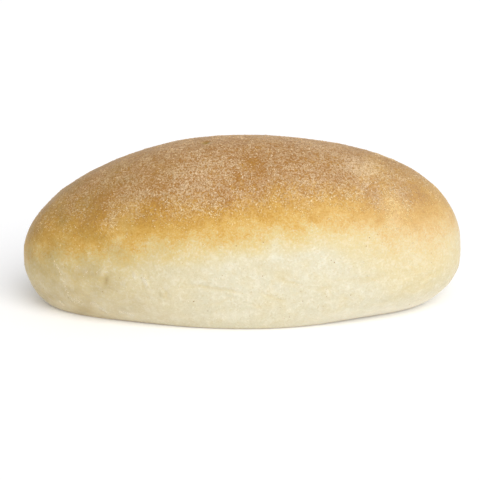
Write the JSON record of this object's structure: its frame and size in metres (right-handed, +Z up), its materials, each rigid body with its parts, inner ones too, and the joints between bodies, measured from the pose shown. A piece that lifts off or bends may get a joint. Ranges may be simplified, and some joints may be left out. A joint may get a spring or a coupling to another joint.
{
  "type": "bread roll",
  "caption": "Long, soft, whole bread roll with a browned and lightly floured top, pale soft sides and a flat baked base.",
  "frame": {"origin": "on the flat base, under the middle of the roll's box", "axes": "+X along the roll towards its rounder-topped end, +Z up out of the base, -Y out of the front flank"},
  "size_m": [0.1404, 0.068, 0.0538],
  "materials": {
    "crust": "matte baked crust, golden brown on top and cream on the sides",
    "flour": "dry matte specks of toasted flour on the crust"
  },
  "bodies": {
    "root": {"bread_roll": "crust"}
  },
  "joints": []
}
